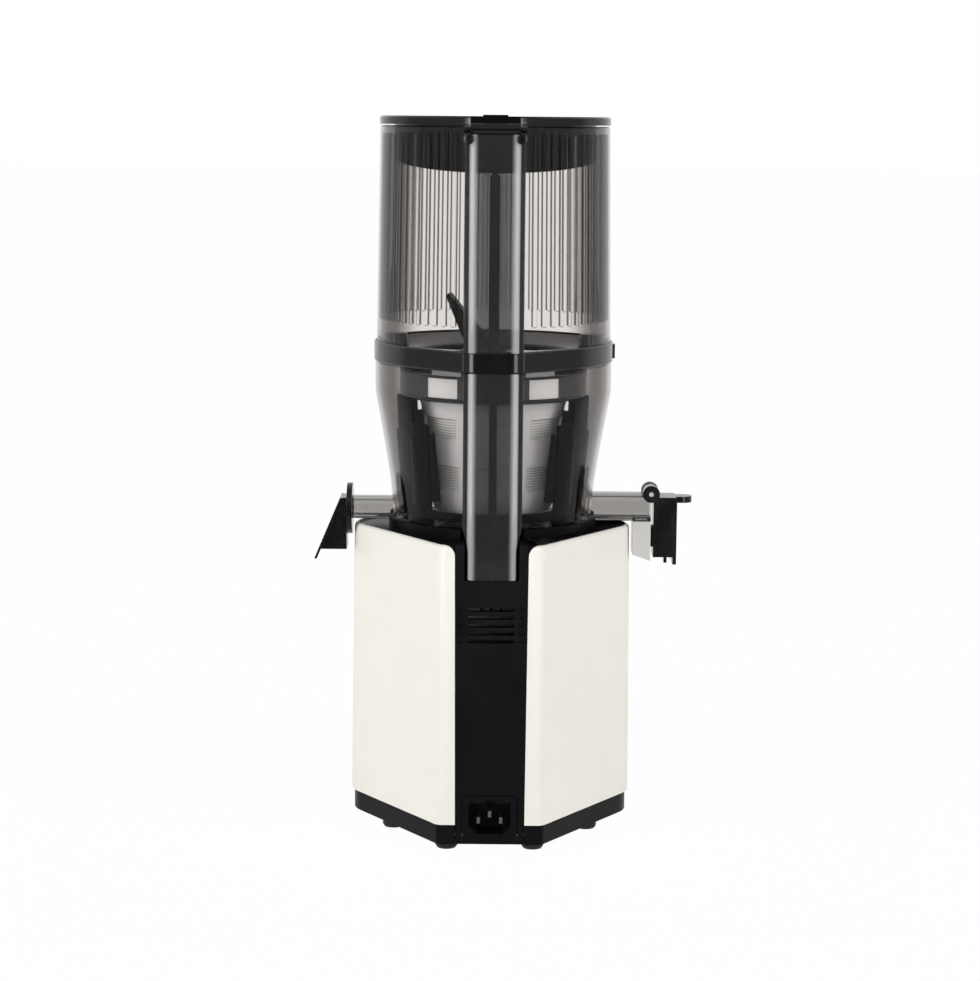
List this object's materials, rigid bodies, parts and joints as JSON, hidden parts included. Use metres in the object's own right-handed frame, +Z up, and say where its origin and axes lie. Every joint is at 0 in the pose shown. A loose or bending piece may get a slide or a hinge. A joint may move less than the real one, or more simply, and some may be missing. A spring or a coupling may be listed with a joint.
{
  "type": "cold press juicer",
  "caption": "Tall-hopper slow juicer: motor base, lift-off bowl with auger, strainer and wiper, juice and pulp spouts, clear hopper and rear-hinged lid.",
  "frame": {"origin": "on the drive axis, at the plane the feet stand on", "axes": "+Z up along the drive axis, front towards -Y, rear column and mains inlet towards +Y, juice spout towards -X, pulp spout towards +X"},
  "size_m": [0.2429, 0.197, 0.4552],
  "materials": {
    "cream_plastic": "cream-white moulded, satin gloss",
    "black_plastic": "black moulded, fine texture",
    "gloss_black": "black moulded, polished",
    "smoke_clear": "smoke-grey clear copolyester",
    "smoke_lid": "dark smoky, glossy",
    "strainer_grey": "dark grey heat-proof resin",
    "nozzle_white": "pale translucent",
    "steel": "stainless",
    "laminated_steel": "laminated iron",
    "zinc": "die cast",
    "nylon": "natural nylon",
    "rubber_black": "black rubber",
    "silicone": "pale silicone",
    "board_green": "solder mask"
  },
  "bodies": {
    "base": {"base_cover": "cream_plastic", "base_spine": "black_plastic", "base_deck": "black_plastic", "base_skirt": "black_plastic", "bottom_plate": "black_plastic", "feet": "rubber_black", "plate_screws": "steel", "inlet_housing": "black_plastic", "inlet_pins": "steel", "gearbox_housing": "zinc", "gearbox_cover": "zinc", "motor_stator": "laminated_steel", "motor_bracket": "zinc", "cluster_pin": "steel", "shaft_bearing": "steel", "shaft_seal": "rubber_black", "circuit_board": "board_green", "safety_switch": "black_plastic", "rotary_switch": "black_plastic"},
    "rotor": {"motor_rotor": "laminated_steel", "cooling_fan": "black_plastic"},
    "cluster": {"gear_cluster": "nylon"},
    "output": {"drive_shaft": "steel", "output_gear": "nylon"},
    "knob": {"control_knob": "black_plastic"},
    "bowl": {"juicing_bowl": "smoke_clear", "bowl_seal": "silicone", "juice_nozzle": "nozzle_white", "pulp_chute": "gloss_black", "pulp_flange": "gloss_black", "strainer": "strainer_grey", "strainer_mesh": "steel", "cap_hinge_pin": "steel"},
    "lower_rod": {"lower_push_rod": "black_plastic"},
    "juice_cap": {"juice_cap": "gloss_black", "juice_cap_seal": "silicone"},
    "wiper": {"wiper_frame": "gloss_black", "wiper_blades": "silicone"},
    "idler": {"idler_gear": "nylon"},
    "auger": {"auger": "strainer_grey"},
    "hopper": {"hopper": "smoke_clear", "hopper_collar": "gloss_black", "hopper_floor": "gloss_black", "lid_hinge_pin": "gloss_black"},
    "upper_rod": {"hopper_push_rod": "black_plastic"},
    "lid": {"lid": "smoke_lid"}
  },
  "joints": [
    {"name": "drive_shaft_turn", "type": "hinge", "parent": "base", "child": "output", "pos_m": [0, 0, 0.15], "axis": [0, 0, 1], "continuous": true},
    {"name": "rotor_turn", "type": "hinge", "parent": "base", "child": "rotor", "pos_m": [0, 0, 0.07], "axis": [0, 0, 1], "continuous": true},
    {"name": "cluster_turn", "type": "hinge", "parent": "base", "child": "cluster", "pos_m": [0.036, 0, 0.12], "axis": [0, 0, 1], "continuous": true},
    {"name": "knob_turn", "type": "hinge", "parent": "base", "child": "knob", "pos_m": [0, -0.09, 0.12], "axis": [0, -1, 0], "range_deg": [-45, 45]},
    {"name": "bowl_lift", "type": "slide", "parent": "base", "child": "bowl", "axis": [0, 0, 1], "range_m": [0, 0.06]},
    {"name": "auger_turn", "type": "hinge", "parent": "bowl", "child": "auger", "pos_m": [0, 0, 0.25], "axis": [0, 0, 1], "continuous": true},
    {"name": "idler_turn", "type": "hinge", "parent": "bowl", "child": "idler", "pos_m": [0, -0.03125, 0.205], "axis": [0, 0, 1], "continuous": true},
    {"name": "wiper_turn", "type": "hinge", "parent": "bowl", "child": "wiper", "pos_m": [0, 0, 0.23], "axis": [0, 0, 1], "continuous": true},
    {"name": "juice_cap_open", "type": "hinge", "parent": "bowl", "child": "juice_cap", "pos_m": [-0.10204, 0, 0.2155], "axis": [0, 1, 0], "range_deg": [0, 90]},
    {"name": "lower_rod_slide", "type": "slide", "parent": "bowl", "child": "lower_rod", "axis": [0, 0, 1], "range_m": [0, 0.003]},
    {"name": "hopper_lift", "type": "slide", "parent": "bowl", "child": "hopper", "axis": [0, 0, 1], "range_m": [0, 0.06]},
    {"name": "upper_rod_slide", "type": "slide", "parent": "hopper", "child": "upper_rod", "axis": [0, 0, 1], "range_m": [0, 0.003]},
    {"name": "lid_open", "type": "hinge", "parent": "hopper", "child": "lid", "pos_m": [0, 0.0835, 0.4464], "axis": [-1, 0, 0], "range_deg": [0, 105]}
  ],
  "couplings": [
    {"joint": "rotor_turn", "follows": "drive_shaft_turn", "ratio": 15},
    {"joint": "cluster_turn", "follows": "drive_shaft_turn", "ratio": -3},
    {"joint": "auger_turn", "follows": "drive_shaft_turn", "ratio": 1},
    {"joint": "idler_turn", "follows": "drive_shaft_turn", "ratio": -0.66667},
    {"joint": "wiper_turn", "follows": "drive_shaft_turn", "ratio": -0.25},
    {"joint": "lower_rod_slide", "follows": "lid_open", "m_per_rad": 0.0016},
    {"joint": "upper_rod_slide", "follows": "lid_open", "m_per_rad": 0.0016}
  ]
}
